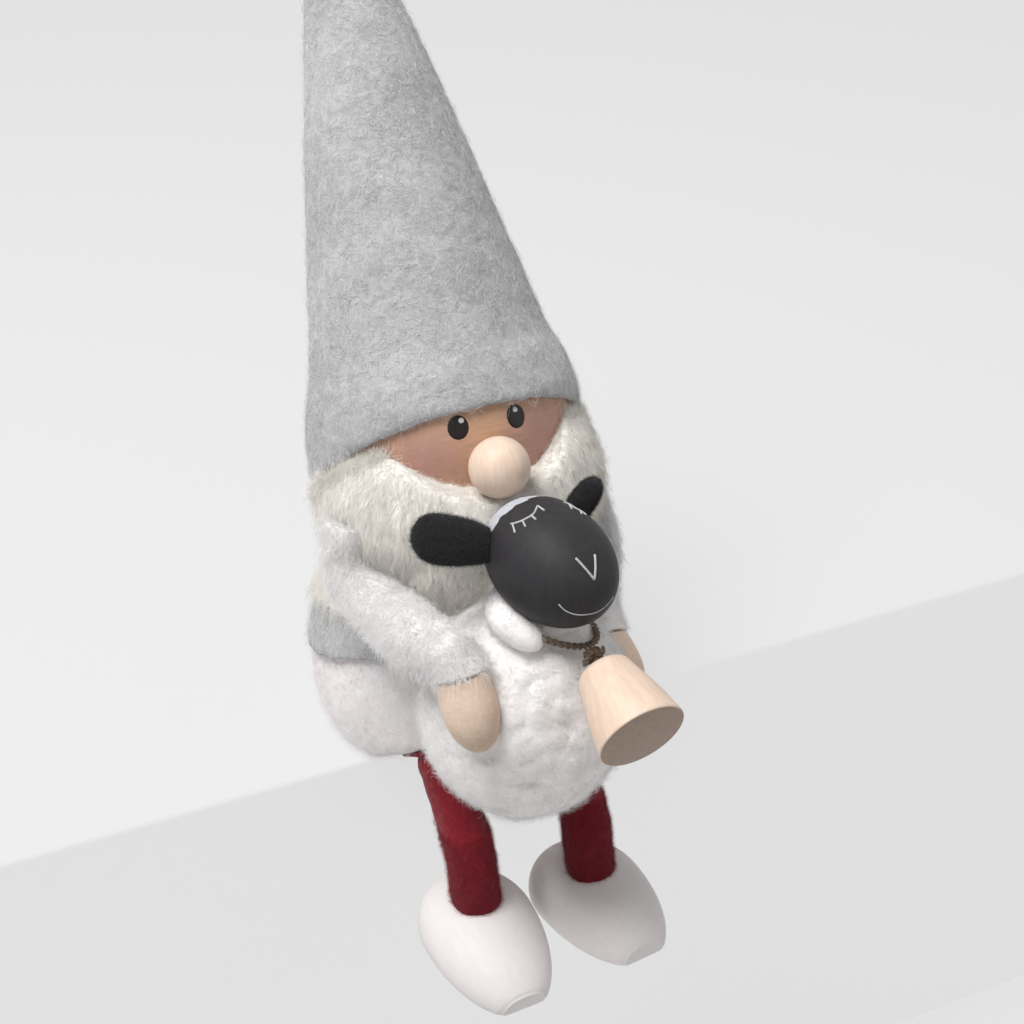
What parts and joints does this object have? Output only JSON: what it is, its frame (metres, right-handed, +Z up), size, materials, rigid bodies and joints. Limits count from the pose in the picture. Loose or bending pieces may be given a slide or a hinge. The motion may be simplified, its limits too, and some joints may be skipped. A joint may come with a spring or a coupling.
{
  "type": "seated gnome figurine with toy sheep",
  "caption": "Seated wood and felt gnome with a tall leaning hat and long beard, hugging a toy sheep with a bell.",
  "frame": {"origin": "middle of the round seat, on the flat seat face", "axes": "+Z up, -Y out of the front where the face looks and the legs hang, -X the gnome's own right side"},
  "size_m": [0.0587, 0.1309, 0.1977],
  "materials": {
    "grey_felt": "matte wool felt",
    "white_fleece": "matte boucle fleece",
    "beard_fur": "matte long-pile fur",
    "tinted_wood": "satin",
    "pale_wood": "satin",
    "core_wood": "matte",
    "black_paint": "satin paint",
    "white_paint": "matte paint",
    "black_felt": "matte felt",
    "red_felt": "matte felt",
    "jute": "matte twine",
    "steel_wire": "drawn"
  },
  "bodies": {
    "root": {"hat": "grey_felt", "tunic": "grey_felt", "hat_filling": "white_fleece", "fleece_seat": "white_fleece", "sheep_body": "white_fleece", "beard": "beard_fur", "head": "tinted_wood", "nose": "pale_wood", "body_core": "core_wood", "neck_dowel": "core_wood", "nose_peg": "core_wood", "sheep_core": "core_wood", "sheep_neck_dowel": "core_wood", "sheep_head": "black_paint", "sheep_right_ear": "black_felt", "sheep_left_ear": "black_felt", "right_hip_tab": "red_felt", "left_hip_tab": "red_felt", "twine_collar": "jute"},
    "right_arm": {"right_sleeve": "white_fleece", "right_hand": "pale_wood", "right_arm_wire": "steel_wire"},
    "left_arm": {"left_sleeve": "white_fleece", "left_hand": "pale_wood", "left_arm_wire": "steel_wire"},
    "knot": {"twine_knot": "jute"},
    "bell": {"bell_twine": "jute", "bell": "pale_wood"},
    "right_leg": {"right_leg": "red_felt", "right_shoe": "white_paint"},
    "left_leg": {"left_leg": "red_felt", "left_shoe": "white_paint"}
  },
  "joints": [
    {"name": "right_arm_open", "type": "hinge", "parent": "root", "child": "right_arm", "pos_m": [-0.0242, -0.0095, 0.055], "axis": [0, 0, -1], "range_deg": [0, 40]},
    {"name": "left_arm_open", "type": "hinge", "parent": "root", "child": "left_arm", "pos_m": [0.0223, -0.0105, 0.05], "axis": [0, 0, 1], "range_deg": [0, 40]},
    {"name": "bell_sway", "type": "hinge", "parent": "root", "child": "knot", "pos_m": [0.00323, -0.0545, 0.04546], "axis": [0, -0.342, 0.9397], "range_deg": [-12, 12]},
    {"name": "bell_lift", "type": "hinge", "parent": "knot", "child": "bell", "pos_m": [0.00323, -0.0545, 0.04546], "axis": [-1, 0, 0], "range_deg": [0, 35]},
    {"name": "right_leg_swing", "type": "hinge", "parent": "root", "child": "right_leg", "pos_m": [-0.012, -0.0215, 0.0032], "axis": [-1, 0, 0], "range_deg": [-10, 35], "stiffness_Nm_per_rad": 0.01, "springref_deg": 2.52},
    {"name": "left_leg_swing", "type": "hinge", "parent": "root", "child": "left_leg", "pos_m": [0.013, -0.0215, 0.0032], "axis": [-1, 0, 0], "range_deg": [-10, 35], "stiffness_Nm_per_rad": 0.01, "springref_deg": 2.52}
  ]
}
